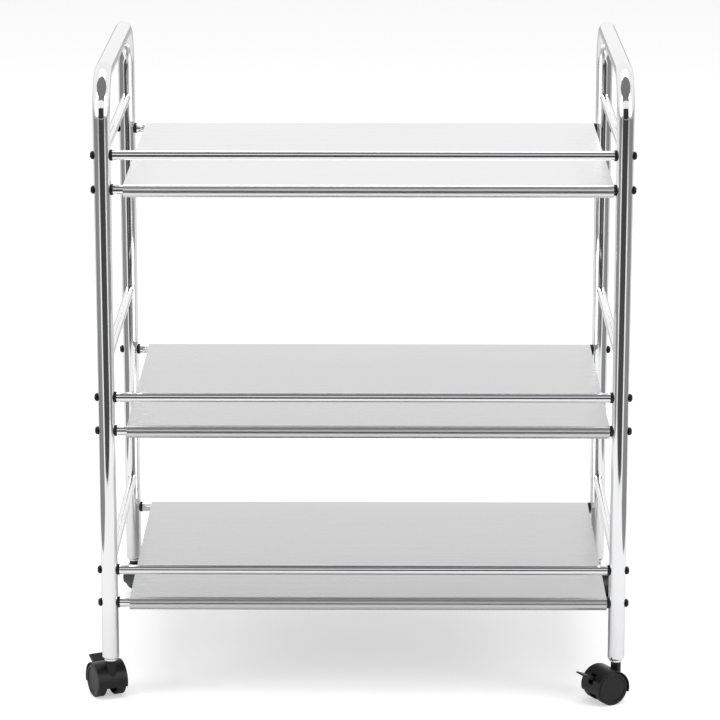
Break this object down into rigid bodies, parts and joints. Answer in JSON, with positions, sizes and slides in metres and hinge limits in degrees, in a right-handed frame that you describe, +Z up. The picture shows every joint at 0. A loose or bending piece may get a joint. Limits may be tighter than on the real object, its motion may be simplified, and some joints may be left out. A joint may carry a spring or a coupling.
{
  "type": "food service trolley",
  "caption": "Tall trolley of chromed tube with push handles at both ends, rolled-edge steel shelves with front guard rails, and twin-wheel casters.",
  "frame": {"origin": "on the floor, under the middle of the trolley", "axes": "+X from the left handle to the right one, +Y from the front guard rails to the rear, +Z up"},
  "size_m": [0.826, 0.5852, 0.9415],
  "materials": {
    "tube_chrome": "bright chromed steel tube",
    "shelf_steel": "fine brushed stainless sheet",
    "screw_black": "black zinc",
    "black_fitting": "moulded black plastic",
    "plain_steel": "bare steel tube",
    "zinc_steel": "bright zinc plate",
    "hood_plastic": "black nylon, fine texture",
    "wheel_plastic": "black nylon wheel",
    "lever_plastic": "black nylon"
  },
  "bodies": {
    "root": {"left_handle": "tube_chrome", "front_left_post": "tube_chrome", "rear_left_post": "tube_chrome", "left_lower_cross_bar": "tube_chrome", "left_middle_cross_bar": "tube_chrome", "left_upper_cross_bar": "tube_chrome", "right_handle": "tube_chrome", "front_right_post": "tube_chrome", "rear_right_post": "tube_chrome", "right_lower_cross_bar": "tube_chrome", "right_middle_cross_bar": "tube_chrome", "right_upper_cross_bar": "tube_chrome", "lower_front_rail": "tube_chrome", "lower_rear_rail": "tube_chrome", "lower_guard_rail": "tube_chrome", "lower_shelf": "shelf_steel", "middle_front_rail": "tube_chrome", "middle_rear_rail": "tube_chrome", "middle_guard_rail": "tube_chrome", "middle_shelf": "shelf_steel", "upper_front_rail": "tube_chrome", "upper_rear_rail": "tube_chrome", "upper_guard_rail": "tube_chrome", "upper_shelf": "shelf_steel", "rail_screws": "screw_black", "rail_saddles": "black_fitting", "rail_inserts": "black_fitting", "handle_joiners": "plain_steel", "caster_sockets": "black_fitting", "front_left_caster_stem": "zinc_steel", "front_right_caster_stem": "zinc_steel", "rear_left_caster_stem": "zinc_steel", "rear_right_caster_stem": "zinc_steel"},
    "front_left_caster": {"front_left_caster_hood": "hood_plastic", "front_left_caster_axle": "zinc_steel", "front_left_caster_brake_pin": "zinc_steel"},
    "front_left_caster_left_wheel": {"front_left_caster_left_wheel": "wheel_plastic"},
    "front_left_caster_right_wheel": {"front_left_caster_right_wheel": "wheel_plastic"},
    "front_left_caster_brake": {"front_left_caster_brake_lever": "lever_plastic"},
    "front_right_caster": {"front_right_caster_hood": "hood_plastic", "front_right_caster_axle": "zinc_steel", "front_right_caster_brake_pin": "zinc_steel"},
    "front_right_caster_left_wheel": {"front_right_caster_left_wheel": "wheel_plastic"},
    "front_right_caster_right_wheel": {"front_right_caster_right_wheel": "wheel_plastic"},
    "front_right_caster_brake": {"front_right_caster_brake_lever": "lever_plastic"},
    "rear_left_caster": {"rear_left_caster_hood": "hood_plastic", "rear_left_caster_axle": "zinc_steel"},
    "rear_left_caster_left_wheel": {"rear_left_caster_left_wheel": "wheel_plastic"},
    "rear_left_caster_right_wheel": {"rear_left_caster_right_wheel": "wheel_plastic"},
    "rear_right_caster": {"rear_right_caster_hood": "hood_plastic", "rear_right_caster_axle": "zinc_steel"},
    "rear_right_caster_left_wheel": {"rear_right_caster_left_wheel": "wheel_plastic"},
    "rear_right_caster_right_wheel": {"rear_right_caster_right_wheel": "wheel_plastic"}
  },
  "joints": [
    {"name": "front_left_caster_swivel", "type": "hinge", "parent": "root", "child": "front_left_caster", "pos_m": [-0.3725, -0.25, 0.05], "axis": [0, 0, 1], "continuous": true},
    {"name": "front_left_caster_left_wheel_spin", "type": "hinge", "parent": "front_left_caster", "child": "front_left_caster_left_wheel", "pos_m": [-0.39428, -0.2406, 0.025], "axis": [0.8988, 0.4384, 0], "continuous": true},
    {"name": "front_left_caster_right_wheel_spin", "type": "hinge", "parent": "front_left_caster", "child": "front_left_caster_right_wheel", "pos_m": [-0.3665, -0.22705, 0.025], "axis": [0.8988, 0.4384, 0], "continuous": true},
    {"name": "front_left_caster_brake_press", "type": "hinge", "parent": "front_left_caster", "child": "front_left_caster_brake", "pos_m": [-0.38784, -0.21854, 0.036], "axis": [-0.8988, -0.4384, 0], "range_deg": [0, 18]},
    {"name": "front_right_caster_swivel", "type": "hinge", "parent": "root", "child": "front_right_caster", "pos_m": [0.3725, -0.25, 0.05], "axis": [0, 0, 1], "continuous": true},
    {"name": "front_right_caster_left_wheel_spin", "type": "hinge", "parent": "front_right_caster", "child": "front_right_caster_left_wheel", "pos_m": [0.36464, -0.27238, 0.025], "axis": [-0.5, 0.866, 0], "continuous": true},
    {"name": "front_right_caster_right_wheel_spin", "type": "hinge", "parent": "front_right_caster", "child": "front_right_caster_right_wheel", "pos_m": [0.34919, -0.24562, 0.025], "axis": [-0.5, 0.866, 0], "continuous": true},
    {"name": "front_right_caster_brake_press", "type": "hinge", "parent": "front_right_caster", "child": "front_right_caster_brake", "pos_m": [0.34219, -0.2675, 0.036], "axis": [0.5, -0.866, 0], "range_deg": [0, 18]},
    {"name": "rear_left_caster_swivel", "type": "hinge", "parent": "root", "child": "rear_left_caster", "pos_m": [-0.3725, 0.25, 0.05], "axis": [0, 0, 1], "continuous": true},
    {"name": "rear_left_caster_left_wheel_spin", "type": "hinge", "parent": "rear_left_caster", "child": "rear_left_caster_left_wheel", "pos_m": [-0.36464, 0.27238, 0.025], "axis": [0.5, -0.866, 0], "continuous": true},
    {"name": "rear_left_caster_right_wheel_spin", "type": "hinge", "parent": "rear_left_caster", "child": "rear_left_caster_right_wheel", "pos_m": [-0.34919, 0.24562, 0.025], "axis": [0.5, -0.866, 0], "continuous": true},
    {"name": "rear_right_caster_swivel", "type": "hinge", "parent": "root", "child": "rear_right_caster", "pos_m": [0.3725, 0.25, 0.05], "axis": [0, 0, 1], "continuous": true},
    {"name": "rear_right_caster_left_wheel_spin", "type": "hinge", "parent": "rear_right_caster", "child": "rear_right_caster_left_wheel", "pos_m": [0.39428, 0.2406, 0.025], "axis": [-0.8988, -0.4384, 0], "continuous": true},
    {"name": "rear_right_caster_right_wheel_spin", "type": "hinge", "parent": "rear_right_caster", "child": "rear_right_caster_right_wheel", "pos_m": [0.3665, 0.22705, 0.025], "axis": [-0.8988, -0.4384, 0], "continuous": true}
  ]
}
